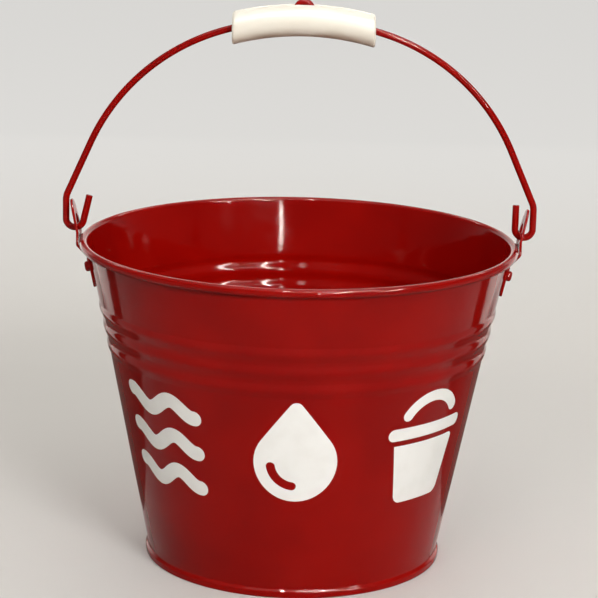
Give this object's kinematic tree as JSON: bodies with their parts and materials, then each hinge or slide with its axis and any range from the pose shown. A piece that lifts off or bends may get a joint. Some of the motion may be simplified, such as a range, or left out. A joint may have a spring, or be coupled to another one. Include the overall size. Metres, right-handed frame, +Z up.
{
  "type": "fire bucket",
  "caption": "Round tapered sheet-steel fire bucket with rolled beads, a wired rim, riveted ears and a swinging wire bail with an arched moulded grip.",
  "frame": {"origin": "centre of the foot ring, on the plane that the bucket stands on", "axes": "+Z up through the mouth, +X through the right ear so that the bail swings about X, -Y to the front, +Y to the side seam"},
  "size_m": [0.2912, 0.27, 0.3481],
  "materials": {
    "red_enamel": "deep red gloss enamel",
    "rim_steel": "bare drawn wire, hidden in the curl",
    "grip_plastic": "smooth off-white moulding"
  },
  "bodies": {
    "bucket": {"body_wall": "red_enamel", "rim_wire": "rim_steel", "bottom_plate": "red_enamel", "ear_left": "red_enamel", "ear_right": "red_enamel", "rivet_left_front": "red_enamel", "rivet_left_back": "red_enamel", "rivet_right_front": "red_enamel", "rivet_right_back": "red_enamel"},
    "bail": {"bail": "red_enamel", "grip": "grip_plastic"}
  },
  "joints": [
    {"name": "bail_swing", "type": "hinge", "parent": "bucket", "child": "bail", "pos_m": [0, 0, 0.2043], "axis": [1, 0, 0], "range_deg": [-87, 87]}
  ]
}
